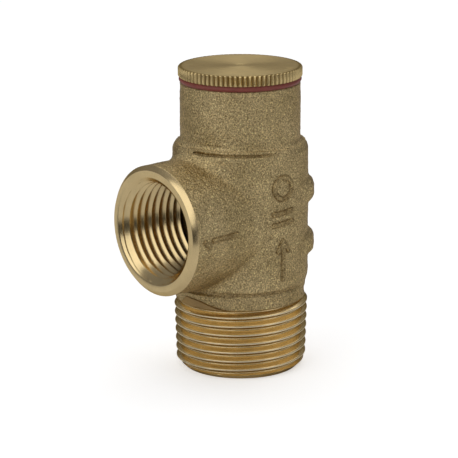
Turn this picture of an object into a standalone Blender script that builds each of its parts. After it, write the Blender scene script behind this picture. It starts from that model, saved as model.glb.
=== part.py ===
"""Pressure relief valve: male inlet below, female outlet at the side and a knurled adjusting cap on top.

The valve's own axis is vertical and parallel to Z. The outlet points along -X. The origin is the middle of
the underside of the whole valve's box, so the valve axis stands VALVE_X to the +X side of it.
"""

import math

import bmesh
import bpy
from mathutils import Matrix, Vector

MM = 0.001
GAP = 0.3 * MM  # clearance between pieces that touch
THIN_GAP = 0.1 * MM  # clearance where the pieces are thin

# Body casting
BODY_R = 13.5 * MM
BONNET_R = 12.08 * MM
BODY_LOW_Z = 18.9 * MM  # the body's straight side runs from here ...
BODY_HIGH_Z = 44.8 * MM  # ... to here
BONNET_LOW_Z = 46.85 * MM
BONNET_TOP_Z = 58.2 * MM
NECK_GROOVE_R = 12.3 * MM
NECK_GROOVE_Z = 16.0 * MM
RIB_R = 14.75 * MM
RIB_HALF_HEIGHT = 2.6 * MM
RIB_CENTRES_Z = (36.4 * MM, 25.6 * MM)
RIB_HALF_ANGLE = math.radians(58)

# Raised flow arrow, on the -Y side and the +Y side
ARROW_X = -0.75 * MM  # its middle, from the valve axis
ARROW_LOW_Z = 20.0 * MM
ARROW_HIGH_Z = 28.5 * MM
ARROW_SHAFT_WIDTH = 0.9 * MM
ARROW_HEAD_WIDTH = 3.0 * MM
ARROW_HEAD_HEIGHT = 2.4 * MM
ARROW_RELIEF = 0.4 * MM

# Inlet, 3/4 inch male taper pipe thread
THREAD_TAPER = 1 / 32  # growth of the radius per length
INLET_THREAD_R = 13.08 * MM  # crest radius at the end
INLET_THREAD_TOP_Z = 13.6 * MM
INLET_FACE_R = 11.55 * MM
INLET_BORE_R = 7.6 * MM

# Outlet, 1/2 inch female taper pipe thread
OUTLET_Z = 31.3 * MM
OUTLET_REACH = 22.8 * MM  # from the valve axis to the outlet face
OUTLET_BORE_R = 9.9 * MM  # between the thread's crests and roots
OUTLET_MOUTH_R = 10.78 * MM
OUTLET_FACE_R = 12.12 * MM
BOSS_R = 12.95 * MM
BOSS_EDGE = 0.8 * MM  # length of the turned edge of the boss

# Inside, from the bottom up
CHAMBER_R = 9.7 * MM
SEAT_POCKET_R = 9.4 * MM
SEAT_POCKET_Z = 16.5 * MM
CHAMBER_LOW_Z = 20.6 * MM
CHAMBER_HIGH_Z = 45.0 * MM
BONNET_BORE_R = 10.1 * MM
SEAT_BORE_R = 6.5 * MM
SEAT_TOP_Z = 20.5 * MM
SEAT_SPIGOT_R = 7.8 * MM
SEAT_LIP_R = 7.3 * MM
SEAT_FLANGE_LIFT = 1.3 * MM  # from the pocket's floor to the flange
SEAT_ORING_R = 8.6 * MM
SEAT_ORING_WIRE_R = 0.5 * MM
DISC_R = 7.8 * MM
DISC_THICK = 1.9 * MM
DISC_HOLE_R = 1.5 * MM
HOLDER_RECESS_R = 8.1 * MM
HOLDER_R = 8.7 * MM
HOLDER_THICK = 2.0 * MM
HOLDER_BOSS_R = 4.8 * MM
HOLDER_BOSS_HEIGHT = 2.2 * MM
WING_WIDTH = 2.4 * MM
RETAINER_R = 3.6 * MM
RETAINER_THICK = 0.7 * MM
SCREW_R = 1.2 * MM
SCREW_HEAD_R = 2.5 * MM
SCREW_HEAD_THICK = 1.4 * MM
SCREW_SLOT = 0.7 * MM
PIN_R = 0.6 * MM
PIN_LENGTH = 9.2 * MM
STEM_R = 2.4 * MM
STEM_TOP_Z = 53.5 * MM
WASHER_BORE_R = 5.1 * MM
WASHER_R = 8.6 * MM
WASHER_THICK = 0.8 * MM
SPRING_WIRE_R = 1.05 * MM
SPRING_MEAN_R = 6.6 * MM
SPRING_TURNS = 7.5
SPRING_CLOSED_TURNS = 1.0  # wound flat at each end
BUTTON_LOW_Z = 48.0 * MM
BUTTON_R = 9.0 * MM
BUTTON_THICK = 2.0 * MM
BUTTON_PILOT_DEPTH = 1.8 * MM
THRUST_WASHER_BORE_R = 4.4 * MM
THRUST_WASHER_R = 8.7 * MM

# Adjusting cap
CAP_R = 12.35 * MM
CAP_LOW_Z = 59.25 * MM
CAP_TOP_Z = 61.32 * MM
CAP_EDGE = 0.35 * MM
SHANK_R = 9.7 * MM
SHANK_LOW_Z = 51.4 * MM
SHANK_EDGE = 0.6 * MM
SHANK_GROOVE_R = 8.2 * MM
SHANK_GROOVE_Z = (56.2 * MM, 58.0 * MM)
CAP_ORING_WIRE_R = 0.65 * MM
BUSH_BORE_R = 4.2 * MM
BUSH_BORE_TOP_Z = 57.0 * MM
BUSH_LENGTH = 3.6 * MM
SEAL_RING_R = 12.12 * MM

VALVE_X = (OUTLET_REACH - RIB_R) / 2  # puts the box's middle on the origin

ROUND = 48  # sides of a large turned shape
MEDIUM_ROUND = 40
SMALL_ROUND = 28

BRASS_CAST = ("cast_brass", (0.33, 0.25, 0.11), 0.5, 1.0)
BRASS_TURNED = ("turned_brass", (0.55, 0.41, 0.17), 0.28, 1.0)
STEEL = ("stainless_steel", (0.6, 0.6, 0.6), 0.3, 1.0)
RED_SEAL = ("red_fibre", (0.28, 0.05, 0.045), 0.6, 0.0)
BLACK_RUBBER = ("black_rubber", (0.02, 0.02, 0.02), 0.7, 0.0)
WHITE_PLASTIC = ("white_plastic", (0.75, 0.75, 0.72), 0.5, 0.0)


def clear_scene():
    for obj in list(bpy.data.objects):
        bpy.data.objects.remove(obj)


def material(node, finish):
    """A Principled material of the node's own."""
    name, colour, roughness, metallic = finish
    made = bpy.data.materials.new(f"{name}_{node}")
    made.use_nodes = True
    shader = made.node_tree.nodes["Principled BSDF"]
    shader.inputs["Base Color"].default_value = (*colour, 1)
    shader.inputs["Roughness"].default_value = roughness
    shader.inputs["Metallic"].default_value = metallic
    return made


def new_object(name, bm, parent, finish=None):
    """An object from bm, with its faces turned out and its round faces shaded smooth."""
    bmesh.ops.remove_doubles(bm, verts=bm.verts, dist=1e-7)
    bmesh.ops.recalc_face_normals(bm, faces=bm.faces)
    mesh = bpy.data.meshes.new(name)
    bm.to_mesh(mesh)
    bm.free()
    mesh.shade_smooth()
    mesh.set_sharp_from_angle(angle=math.radians(32))
    obj = bpy.data.objects.new(name, mesh)
    bpy.context.scene.collection.objects.link(obj)
    obj.parent = parent
    if finish is None:
        obj.hide_render = True
        obj.display_type = "WIRE"
    else:
        mesh.materials.append(material(name, finish))
    return obj


def lathe(bm, profile, sides, start=0.0, sweep=2 * math.pi):
    """Turns a closed (radius, height) outline about Z. Points on the axis become poles."""
    full = math.isclose(sweep, 2 * math.pi)
    count = sides if full else sides + 1
    rings = []
    for radius, height in profile:
        if radius == 0:
            rings.append([bm.verts.new((0, 0, height))] * count)
            continue
        angles = (start + sweep * i / sides for i in range(count))
        rings.append([bm.verts.new((radius * math.cos(a), radius * math.sin(a), height)) for a in angles])
    for low, high in zip(rings, rings[1:] + rings[:1], strict=True):
        for i in range(sides):
            j = (i + 1) % count
            corners = list(dict.fromkeys((low[i], low[j], high[j], high[i])))
            if len(corners) > 2:
                bm.faces.new(corners)
    if not full:
        bm.faces.new([ring[0] for ring in rings])
        bm.faces.new([ring[-1] for ring in reversed(rings)])
    return bm


def turned(name, profile, parent, finish=None, sides=ROUND):
    return new_object(name, lathe(bmesh.new(), profile, sides), parent, finish)


def arc(centre, radius, start_deg, end_deg, steps):
    """Points on an arc in the (radius, height) plane."""
    angles = (math.radians(start_deg + (end_deg - start_deg) * i / steps) for i in range(steps + 1))
    return [(centre[0] + radius * math.cos(a), centre[1] + radius * math.sin(a)) for a in angles]


def ring_section(centre_r, centre_z, tube_r, steps=8):
    """The outline of an O-ring."""
    return arc((centre_r, centre_z), tube_r, 0, 360 - 360 / steps, steps - 1)


def boolean(target, tool, operation):
    modifier = target.modifiers.new(f"{operation.lower()}_{tool.name}", "BOOLEAN")
    modifier.object = tool
    modifier.operation = operation
    modifier.solver = "EXACT"


def box_at(bm, centre, size, angle=0.0):
    """A box of the given size whose centre is turned by angle about Z."""
    turn = Matrix.Rotation(angle, 4, "Z")
    scale = Matrix.Diagonal((*size, 1))
    bmesh.ops.create_cube(bm, size=1, matrix=turn @ Matrix.Translation(Vector(centre)) @ scale)


def body_outline():
    """Outer outline of the casting, from the inlet face up to the bonnet's top."""
    thread_low_r = INLET_THREAD_R + 1.5 * MM * THREAD_TAPER
    thread_high_r = INLET_THREAD_R + INLET_THREAD_TOP_Z * THREAD_TAPER
    shoulder = BONNET_LOW_Z - BODY_HIGH_Z
    shoulder_arc = arc((BODY_R - shoulder, BODY_HIGH_Z), shoulder, 0, 70, 5)
    return [
        (0, 0),
        (INLET_FACE_R, 0),
        (thread_low_r, 1.5 * MM),
        (thread_high_r, INLET_THREAD_TOP_Z),
        (NECK_GROOVE_R + 0.6 * MM, INLET_THREAD_TOP_Z + 1.2 * MM),
        (NECK_GROOVE_R, NECK_GROOVE_Z),
        (NECK_GROOVE_R + 0.8 * MM, NECK_GROOVE_Z + 1.2 * MM),
        (BODY_R, BODY_LOW_Z),
        *shoulder_arc,
        (BONNET_R, BONNET_LOW_Z),
        (BONNET_R, BONNET_TOP_Z),
        (0, BONNET_TOP_Z),
    ]


def main_bore_outline():
    """The waterway, the seat pocket, the spring chamber and the bonnet's threaded bore, as one cutter."""
    past_end = 1 * MM
    return [
        (0, -past_end),
        (INLET_BORE_R, -past_end),
        (INLET_BORE_R, SEAT_POCKET_Z),
        (SEAT_POCKET_R, SEAT_POCKET_Z),
        (SEAT_POCKET_R, CHAMBER_LOW_Z),
        (CHAMBER_R, CHAMBER_LOW_Z),
        (CHAMBER_R, CHAMBER_HIGH_Z),
        (BONNET_BORE_R, CHAMBER_HIGH_Z + 0.6 * MM),
        (BONNET_BORE_R, BONNET_TOP_Z + past_end),
        (0, BONNET_TOP_Z + past_end),
    ]


def lay_along_outlet(obj):
    """Turns a shape made about Z so that it lies on the outlet's axis, with +Z towards the outlet face."""
    obj.rotation_euler = (0, math.radians(-90), 0)
    obj.location = (0, 0, OUTLET_Z)


def lay_along_y(obj, height):
    """Turns a shape made about Z so that it lies across the valve axis along Y, at the height."""
    obj.rotation_euler = (math.radians(90), 0, 0)
    obj.location = (0, 0, height)


def rib_outline(centre_z):
    bulge = RIB_R - BODY_R
    return [
        (BODY_R - 1.5 * MM, centre_z - RIB_HALF_HEIGHT),
        (BODY_R - 0.1 * MM, centre_z - RIB_HALF_HEIGHT),
        (BODY_R + 0.75 * bulge, centre_z - 0.75 * RIB_HALF_HEIGHT),
        (RIB_R, centre_z - 0.35 * RIB_HALF_HEIGHT),
        (RIB_R, centre_z + 0.35 * RIB_HALF_HEIGHT),
        (BODY_R + 0.75 * bulge, centre_z + 0.75 * RIB_HALF_HEIGHT),
        (BODY_R - 0.1 * MM, centre_z + RIB_HALF_HEIGHT),
        (BODY_R - 1.5 * MM, centre_z + RIB_HALF_HEIGHT),
    ]


def make_flow_arrow(parent):
    """An upright arrow as deep as the whole body, so that it stands proud on both sides."""
    shaft, head = ARROW_SHAFT_WIDTH / 2, ARROW_HEAD_WIDTH / 2
    head_low = ARROW_HIGH_Z - ARROW_HEAD_HEIGHT
    outline = [
        (-shaft, ARROW_LOW_Z),
        (shaft, ARROW_LOW_Z),
        (shaft, head_low),
        (head, head_low),
        (0, ARROW_HIGH_Z),
        (-head, head_low),
        (-shaft, head_low),
    ]
    reach = BODY_R + ARROW_RELIEF
    bm = bmesh.new()
    sides = [[bm.verts.new((ARROW_X + x, y, z)) for x, z in outline] for y in (-reach, reach)]
    for side in sides:
        bm.faces.new(side)
    for i in range(len(outline)):
        bm.faces.new((sides[0][i - 1], sides[0][i], sides[1][i], sides[1][i - 1]))
    return new_object("flow_arrow", bm, parent)


def make_valve_body(parent):
    body = turned("valve_body", body_outline(), parent, BRASS_CAST)
    boss = turned(
        "boss_shape",
        [
            (0, 4 * MM),
            (BOSS_R, 4 * MM),
            (BOSS_R, OUTLET_REACH - BOSS_EDGE),
            (OUTLET_FACE_R, OUTLET_REACH),
            (0, OUTLET_REACH),
        ],
        parent,
    )
    lay_along_outlet(boss)
    boolean(body, boss, "UNION")
    for number, centre_z in enumerate(RIB_CENTRES_Z):
        bm = lathe(bmesh.new(), rib_outline(centre_z), 20, -RIB_HALF_ANGLE, 2 * RIB_HALF_ANGLE)
        boolean(body, new_object(f"rib_shape_{number}", bm, parent), "UNION")
    boolean(body, make_flow_arrow(parent), "UNION")
    boolean(body, turned("main_bore", main_bore_outline(), parent), "DIFFERENCE")
    outlet_bore = turned(
        "outlet_bore",
        [
            (0, 3 * MM),
            (OUTLET_BORE_R, 3 * MM),
            (OUTLET_BORE_R, OUTLET_REACH - 0.9 * MM),
            (OUTLET_MOUTH_R, OUTLET_REACH),
            (OUTLET_MOUTH_R, OUTLET_REACH + 1 * MM),
            (0, OUTLET_REACH + 1 * MM),
        ],
        parent,
    )
    lay_along_outlet(outlet_bore)
    boolean(body, outlet_bore, "DIFFERENCE")


def make_seat(parent):
    low = SEAT_POCKET_Z + GAP
    flange_z = low + SEAT_FLANGE_LIFT
    outer_r = SEAT_POCKET_R - GAP
    shoulder_z = SEAT_TOP_Z - 0.6 * MM
    turned(
        "seat_ring",
        [
            (SEAT_BORE_R, low),
            (SEAT_SPIGOT_R, low),
            (SEAT_SPIGOT_R, flange_z),
            (outer_r, flange_z),
            (outer_r, shoulder_z),
            (SEAT_LIP_R + 0.4 * MM, shoulder_z),
            (SEAT_LIP_R, SEAT_TOP_Z),
            (SEAT_BORE_R + 0.3 * MM, SEAT_TOP_Z),
            (SEAT_BORE_R, SEAT_TOP_Z - 0.3 * MM),
        ],
        parent,
        BRASS_TURNED,
        MEDIUM_ROUND,
    )
    section = ring_section(SEAT_ORING_R, low + SEAT_ORING_WIRE_R, SEAT_ORING_WIRE_R)
    turned("seat_oring", section, parent, BLACK_RUBBER, MEDIUM_ROUND)


def rod(name, radius, low, high, parent, finish=None, sides=SMALL_ROUND):
    return turned(name, [(0, low), (radius, low), (radius, high), (0, high)], parent, finish, sides)


def washer(name, bore_r, outer_r, low, high, parent, finish, sides=MEDIUM_ROUND):
    section = [(bore_r, low), (outer_r, low), (outer_r, high), (bore_r, high)]
    return turned(name, section, parent, finish, sides)


def make_poppet(parent):
    """The disc assembly that lifts off the seat, from the disc up and then down."""
    disc_low = SEAT_TOP_Z + GAP
    disc_high = disc_low + DISC_THICK
    washer("seat_disc", DISC_HOLE_R, DISC_R, disc_low, disc_high, parent, BLACK_RUBBER)

    plate_low = disc_high + GAP
    plate_high = plate_low + HOLDER_THICK
    boss_high = plate_high + HOLDER_BOSS_HEIGHT
    socket_low = plate_low + 1.3 * MM
    socket_r = STEM_R + GAP
    rim_low = disc_low + 0.5 * MM
    holder = turned(
        "disc_holder",
        [
            (DISC_HOLE_R, plate_low),
            (HOLDER_RECESS_R, plate_low),
            (HOLDER_RECESS_R, rim_low),
            (HOLDER_R, rim_low),
            (HOLDER_R, plate_high),
            (HOLDER_BOSS_R, plate_high),
            (HOLDER_BOSS_R, boss_high),
            (socket_r, boss_high),
            (socket_r, socket_low),
            (DISC_HOLE_R, socket_low),
        ],
        parent,
        BRASS_TURNED,
        MEDIUM_ROUND,
    )
    wing_root = HOLDER_R - GAP
    wing_tip = CHAMBER_R - GAP
    wing_low = CHAMBER_LOW_Z + 0.8 * MM
    wings = bmesh.new()
    for quarter in range(4):
        box_at(
            wings,
            ((wing_root + wing_tip) / 2, 0, (wing_low + plate_high) / 2),
            (wing_tip - wing_root, WING_WIDTH, plate_high - wing_low),
            math.radians(45 + 90 * quarter),
        )
    boolean(holder, new_object("holder_wings", wings, parent), "UNION")
    pin_z = (plate_high + boss_high) / 2 + 0.1 * MM
    pin_hole = rod("pin_hole", PIN_R + GAP, -6 * MM, 6 * MM, parent, sides=16)
    lay_along_y(pin_hole, pin_z)
    boolean(holder, pin_hole, "DIFFERENCE")

    retainer_high = disc_low - GAP
    retainer_low = retainer_high - RETAINER_THICK
    sizes = (DISC_HOLE_R, RETAINER_R, retainer_low, retainer_high)
    washer("disc_retainer", *sizes, parent, STEEL, SMALL_ROUND)

    head_high = retainer_low - GAP
    head_low = head_high - SCREW_HEAD_THICK
    screw_top = socket_low - 0.1 * MM
    screw = turned(
        "disc_screw",
        [
            (0, head_low),
            (SCREW_HEAD_R - 0.3 * MM, head_low),
            (SCREW_HEAD_R, head_low + 0.3 * MM),
            (SCREW_HEAD_R, head_high),
            (SCREW_R, head_high),
            (SCREW_R, screw_top),
            (0, screw_top),
        ],
        parent,
        STEEL,
        SMALL_ROUND,
    )
    slot = bmesh.new()
    box_at(slot, (0, 0, head_low), (6 * MM, SCREW_SLOT, SCREW_HEAD_THICK))
    boolean(screw, new_object("screw_slot", slot, parent), "DIFFERENCE")

    stem_low = socket_low + GAP
    stem_edge = 0.5 * MM
    stem = turned(
        "valve_stem",
        [
            (0, stem_low),
            (STEM_R, stem_low),
            (STEM_R, STEM_TOP_Z - stem_edge),
            (STEM_R - stem_edge, STEM_TOP_Z),
            (0, STEM_TOP_Z),
        ],
        parent,
        STEEL,
        SMALL_ROUND,
    )
    boolean(stem, pin_hole, "DIFFERENCE")
    pin = rod("stem_pin", PIN_R, -PIN_LENGTH / 2, PIN_LENGTH / 2, parent, STEEL, 16)
    lay_along_y(pin, pin_z)

    washer_low = plate_high + GAP
    washer_high = washer_low + WASHER_THICK
    washer("lower_spring_seat", WASHER_BORE_R, WASHER_R, washer_low, washer_high, parent, STEEL)
    make_spring(parent, washer_high + GAP, BUTTON_LOW_Z - GAP)


def make_spring(parent, low, high):
    """A compression spring between the two heights, with flat closed turns at both ends."""
    curve = bpy.data.curves.new("pressure_spring", "CURVE")
    curve.dimensions = "3D"
    curve.bevel_depth = SPRING_WIRE_R
    curve.bevel_resolution = 2
    curve.use_fill_caps = True
    steps_a_turn = 16
    steps = int(SPRING_TURNS * steps_a_turn)
    closed_rise = 2.15 * SPRING_WIRE_R  # a closed turn lies on its neighbour
    open_turns = SPRING_TURNS - 2 * SPRING_CLOSED_TURNS
    open_rise = (high - low - 2 * SPRING_WIRE_R - 2 * SPRING_CLOSED_TURNS * closed_rise) / open_turns
    spline = curve.splines.new("POLY")
    spline.points.add(steps)
    height = low + SPRING_WIRE_R
    for i, point in enumerate(spline.points):
        turn = i / steps_a_turn
        angle = 2 * math.pi * turn
        point.co = (SPRING_MEAN_R * math.cos(angle), SPRING_MEAN_R * math.sin(angle), height, 1)
        is_closed = turn < SPRING_CLOSED_TURNS or turn >= SPRING_TURNS - SPRING_CLOSED_TURNS
        height += (closed_rise if is_closed else open_rise) / steps_a_turn
    spring = bpy.data.objects.new("pressure_spring", curve)
    bpy.context.scene.collection.objects.link(spring)
    spring.parent = parent
    curve.materials.append(material("pressure_spring", STEEL))


def make_follower(parent):
    """The upper spring seat and the washer that the cap's shank bears on."""
    high = BUTTON_LOW_Z + BUTTON_THICK
    pilot_low = BUTTON_LOW_Z - BUTTON_PILOT_DEPTH
    pilot_r = SPRING_MEAN_R - SPRING_WIRE_R - GAP
    bore_r = STEM_R + GAP
    turned(
        "spring_button",
        [
            (bore_r, pilot_low),
            (pilot_r - 0.5 * MM, pilot_low),
            (pilot_r, pilot_low + 0.6 * MM),
            (pilot_r, BUTTON_LOW_Z),
            (BUTTON_R, BUTTON_LOW_Z),
            (BUTTON_R, high),
            (bore_r, high),
        ],
        parent,
        BRASS_TURNED,
        MEDIUM_ROUND,
    )
    washer_low, washer_high = high + GAP, SHANK_LOW_Z - GAP
    sizes = (THRUST_WASHER_BORE_R, THRUST_WASHER_R, washer_low, washer_high)
    washer("thrust_washer", *sizes, parent, WHITE_PLASTIC)


def make_cap(parent):
    groove_low, groove_high = SHANK_GROOVE_Z
    turned(
        "adjusting_cap",
        [
            (0, BUSH_BORE_TOP_Z),
            (BUSH_BORE_R, BUSH_BORE_TOP_Z),
            (BUSH_BORE_R, SHANK_LOW_Z),
            (SHANK_R - SHANK_EDGE, SHANK_LOW_Z),
            (SHANK_R, SHANK_LOW_Z + SHANK_EDGE),
            (SHANK_R, groove_low),
            (SHANK_GROOVE_R, groove_low),
            (SHANK_GROOVE_R, groove_high),
            (SHANK_R, groove_high),
            (SHANK_R, CAP_LOW_Z),
            (CAP_R - CAP_EDGE, CAP_LOW_Z),
            (CAP_R, CAP_LOW_Z + CAP_EDGE),
            (CAP_R, CAP_TOP_Z - CAP_EDGE),
            (CAP_R - CAP_EDGE, CAP_TOP_Z),
            (0, CAP_TOP_Z),
        ],
        parent,
        BRASS_TURNED,
    )
    oring_r = BONNET_BORE_R - GAP - CAP_ORING_WIRE_R
    section = ring_section(oring_r, (groove_low + groove_high) / 2, CAP_ORING_WIRE_R)
    turned("cap_oring", section, parent, BLACK_RUBBER, MEDIUM_ROUND)
    bush_low = SHANK_LOW_Z + GAP
    sizes = (STEM_R + GAP, BUSH_BORE_R - GAP, bush_low, bush_low + BUSH_LENGTH)
    washer("stem_bush", *sizes, parent, WHITE_PLASTIC, SMALL_ROUND)


def make_cap_seal(parent):
    sizes = (SHANK_R + GAP, SEAL_RING_R, BONNET_TOP_Z + THIN_GAP, CAP_LOW_Z - THIN_GAP)
    washer("cap_seal_ring", *sizes, parent, RED_SEAL, ROUND)


def axis_empty(name):
    """An empty on the valve axis, which the pieces of one moving group hang on."""
    empty = bpy.data.objects.new(name, None)
    empty.location = (VALVE_X, 0, 0)
    bpy.context.scene.collection.objects.link(empty)
    return empty


def main():
    clear_scene()
    fixed = axis_empty("fixed_group")
    make_valve_body(fixed)
    make_seat(fixed)
    make_cap_seal(fixed)
    make_poppet(axis_empty("poppet_group"))
    make_follower(axis_empty("follower_group"))
    make_cap(axis_empty("cap_group"))


main()
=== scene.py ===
import math

import bpy
import numpy as np
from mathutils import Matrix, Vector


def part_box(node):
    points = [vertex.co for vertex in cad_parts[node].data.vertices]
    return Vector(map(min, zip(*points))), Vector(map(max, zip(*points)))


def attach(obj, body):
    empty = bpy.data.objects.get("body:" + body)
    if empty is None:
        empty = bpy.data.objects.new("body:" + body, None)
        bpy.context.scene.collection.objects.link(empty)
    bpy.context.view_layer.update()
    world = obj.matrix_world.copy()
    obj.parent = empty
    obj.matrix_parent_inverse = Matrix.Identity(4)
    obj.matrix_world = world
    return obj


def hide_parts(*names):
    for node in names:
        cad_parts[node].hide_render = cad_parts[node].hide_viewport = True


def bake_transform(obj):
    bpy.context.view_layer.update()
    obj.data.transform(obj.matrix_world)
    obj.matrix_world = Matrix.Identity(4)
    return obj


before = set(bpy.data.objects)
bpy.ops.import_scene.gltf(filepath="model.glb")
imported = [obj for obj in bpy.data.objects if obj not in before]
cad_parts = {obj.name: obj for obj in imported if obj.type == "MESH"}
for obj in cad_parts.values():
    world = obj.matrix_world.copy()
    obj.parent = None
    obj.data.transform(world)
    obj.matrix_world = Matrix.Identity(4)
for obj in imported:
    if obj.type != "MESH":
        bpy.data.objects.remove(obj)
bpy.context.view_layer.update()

import openvdb
from mathutils import Matrix, Vector

# ---------------------------------------------------------------- sizes, in metres
MM = 0.001


def box_mid(node):
    low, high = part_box(node)
    return (low + high) / 2


def box_radius(node):
    low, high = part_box(node)
    return (high.y - low.y) / 2


BODY_LOW, BODY_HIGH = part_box("valve_body")
CAP_LOW, CAP_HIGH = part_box("adjusting_cap")
AXIS_X = box_mid("adjusting_cap").x
CAP_R = box_radius("adjusting_cap")
OUTLET_REACH = AXIS_X - BODY_LOW.x
RIB_R = BODY_HIGH.x - AXIS_X
BONNET_TOP = BODY_HIGH.z
CAP_TOP = CAP_HIGH.z
CAP_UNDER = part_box("cap_seal_ring")[1].z + 0.1 * MM

# The casting
BODY_R = 13.56 * MM
BONNET_R = 11.98 * MM
CASTING_LOW_Z = 13.95 * MM
CREASE_Z = 45.7 * MM  # of the crease at the shoulder
FOLD_Z = 17.5 * MM  # of the fold at the neck
RIB_CENTRES_Z = (36.4 * MM, 25.6 * MM)

# The outlet, along -X
OUTLET_Z = 31.3 * MM
BOSS_R = 12.95 * MM
BOSS_EDGE = 0.85 * MM  # length of the turned edge of the boss
BOSS_FACE_R = 12.12 * MM
MOUTH_R = 10.78 * MM
SOCKET_END = 7.6 * MM  # from the valve axis to the inner end of the thread
SOCKET_SHELL_R = 11.4 * MM

# The pipe threads
PITCH = 1.814 * MM  # 14 turns to the inch, both threads
TAPER = 1 / 32
INLET_CREST_R = 13.07 * MM  # at the end, as is the outlet's root
INLET_THREAD_DEPTH = 1.162 * MM
OUTLET_ROOT_R = 10.55 * MM
OUTLET_THREAD_DEPTH = 1.1 * MM
INLET_FACE_R = 11.55 * MM
INLET_BORE_R = 7.6 * MM
INLET_HIGH_Z = 16.6 * MM  # top of the machined piece, inside the casting except where it was skimmed


# ---------------------------------------------------------------- mesh helpers
def mesh_object(name, vertices, faces, smooth_angle=35):
    mesh = bpy.data.meshes.new(name)
    mesh.from_pydata([tuple(v) for v in vertices], [], [tuple(int(i) for i in f) for f in faces])
    mesh.validate()
    mesh.shade_smooth()
    mesh.set_sharp_from_angle(angle=math.radians(smooth_angle))
    obj = bpy.data.objects.new(name, mesh)
    bpy.context.scene.collection.objects.link(obj)
    return obj


def place(points, base=(0, 0, 0), turn=None):
    """Points turned, then moved from the valve axis to the frame."""
    points = np.asarray(points, float)
    if turn is not None:
        points = points @ np.array(turn.to_3x3(), float).T
    return points + np.array(base, float) + np.array((AXIS_X, 0, 0))


def merged(vertices, faces):
    """Coincident vertices made one, and collapsed faces dropped."""
    keys = np.round(np.asarray(vertices) / (0.0004 * MM)).astype(np.int64)
    _, first, index = np.unique(keys, axis=0, return_index=True, return_inverse=True)
    index = index.reshape(-1)
    kept = []
    for face in faces:
        corners = list(dict.fromkeys(int(index[i]) for i in face))
        if len(corners) > 2:
            kept.append(corners)
    return np.asarray(vertices)[first], kept


def lathe(profile, sides, radius_at=None):
    """A closed outline of (radius, height) turned about Z.

    radius_at(radius, angle) may change a point's radius, which makes the knurl.
    """
    profile = np.array(profile, float)
    angles = np.arange(sides) * 2 * math.pi / sides
    radius = np.repeat(profile[:, :1], sides, axis=1)
    height = np.repeat(profile[:, 1:], sides, axis=1)
    if radius_at is not None:
        radius = radius_at(radius, angles[None, :])
    points = np.stack([radius * np.cos(angles), radius * np.sin(angles), height], axis=2)
    faces = []
    count = len(profile)
    for i in range(count):
        k = (i + 1) % count
        if profile[i][0] == 0 and profile[k][0] == 0:
            continue
        for j in range(sides):
            n = (j + 1) % sides
            faces.append((i * sides + j, i * sides + n, k * sides + n, k * sides + j))
    return merged(points.reshape(-1, 3), faces)


def arc(centre, radius, start, end, steps=5):
    """Points on an arc, angles in degrees."""
    angles = np.radians(np.linspace(start, end, steps + 1))
    return [(centre[0] + radius * math.cos(a), centre[1] + radius * math.sin(a)) for a in angles]


# ---------------------------------------------------------------- threads
# The outlet points along -X, and the camera's side is 41.5 degrees round from -Y towards it.
VIEW_AZIMUTH = math.radians(-41.5)
TO_CAMERA = Vector((math.sin(VIEW_AZIMUTH), -math.cos(VIEW_AZIMUTH), 0))
VIEW_RIGHT = Vector((math.cos(VIEW_AZIMUTH), math.sin(VIEW_AZIMUTH), 0))


def groove(phase):
    """0 on a thread's crest and 1 at its root, for a phase in turns from the crest's middle.

    It is a Whitworth profile: flanks 55 degrees apart, with crest and root equally rounded.
    """
    flank = math.radians(55 / 2)
    rounding = 0.2747  # all lengths here in half pitches
    arc_reach, arc_drop = rounding * math.cos(flank), rounding * (1 - math.sin(flank))
    depth = 2 * (arc_drop + (0.5 - arc_reach) / math.tan(flank))
    t = np.abs((phase + 0.5) % 1 - 0.5) * 2
    near = np.minimum(t, 1 - t)
    on_arc = rounding - np.sqrt(rounding ** 2 - np.minimum(near, arc_reach) ** 2)
    drop = (on_arc + np.maximum(near - arc_reach, 0) / math.tan(flank)) / depth
    return np.where(t < 0.5, drop, 1 - drop)


def tapped_groove(phase, flat_crest=0.05, flat_root=0.04, rounding=0.12):
    """The same for the outlet's thread, which has sharper crests and roots."""
    t = np.abs((phase + 0.5) % 1 - 0.5) * 2
    slope = np.clip((t - flat_crest) / (1 - flat_crest - flat_root), 0, 1)
    soft = slope * slope * (3 - 2 * slope)
    return slope * (1 - rounding) + soft * rounding


def inlet_thread_r(angle, height):
    """Radius of the male thread. Towards its top the die runs out of the metal."""
    run_out_z, run_out_slope = 14.3 * MM, 3
    last_crest_z = 13.52 * MM + PITCH * (angle - VIEW_AZIMUTH) / (2 * math.pi)
    run_out = np.clip(height - run_out_z, 0, None)
    crest = INLET_CREST_R + height * TAPER
    return crest - INLET_THREAD_DEPTH * groove((height - last_crest_z) / PITCH) + run_out * run_out_slope


def inlet_blank_r(angle, height):
    """The inlet end before it is threaded: end chamfer, taper, then the slope up to the cast neck.

    On one side the die has also skimmed the neck, which leaves a smooth patch above the last crest.
    """
    z = np.asarray(height) / MM
    known_z = (0.0, 1.15, 1.5, 13.62, 14.05, 17.0)
    known_r = (INLET_FACE_R / MM, 12.75, 13.11, 13.5, 12.8, 12.8)
    plain = np.interp(z, known_z, known_r)
    patch_low, patch_r, patch_draft, patch_edge = 13.9, 13.34, 0.10, 0.25
    left_of_camera = (np.degrees(VIEW_AZIMUTH - angle) + 90) % 360 - 180
    patch_top = np.interp(left_of_camera, (6, 20, 38, 56, 66), (14.3, 14.9, 15.9, 16.2, 14.3))
    skimmed = patch_r - patch_draft * (z - patch_low)
    share = np.clip((patch_top - z) / patch_edge, 0, 1)
    return np.where(z > patch_low, np.maximum(plain, plain + (skimmed - plain) * share), plain) * MM


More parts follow.
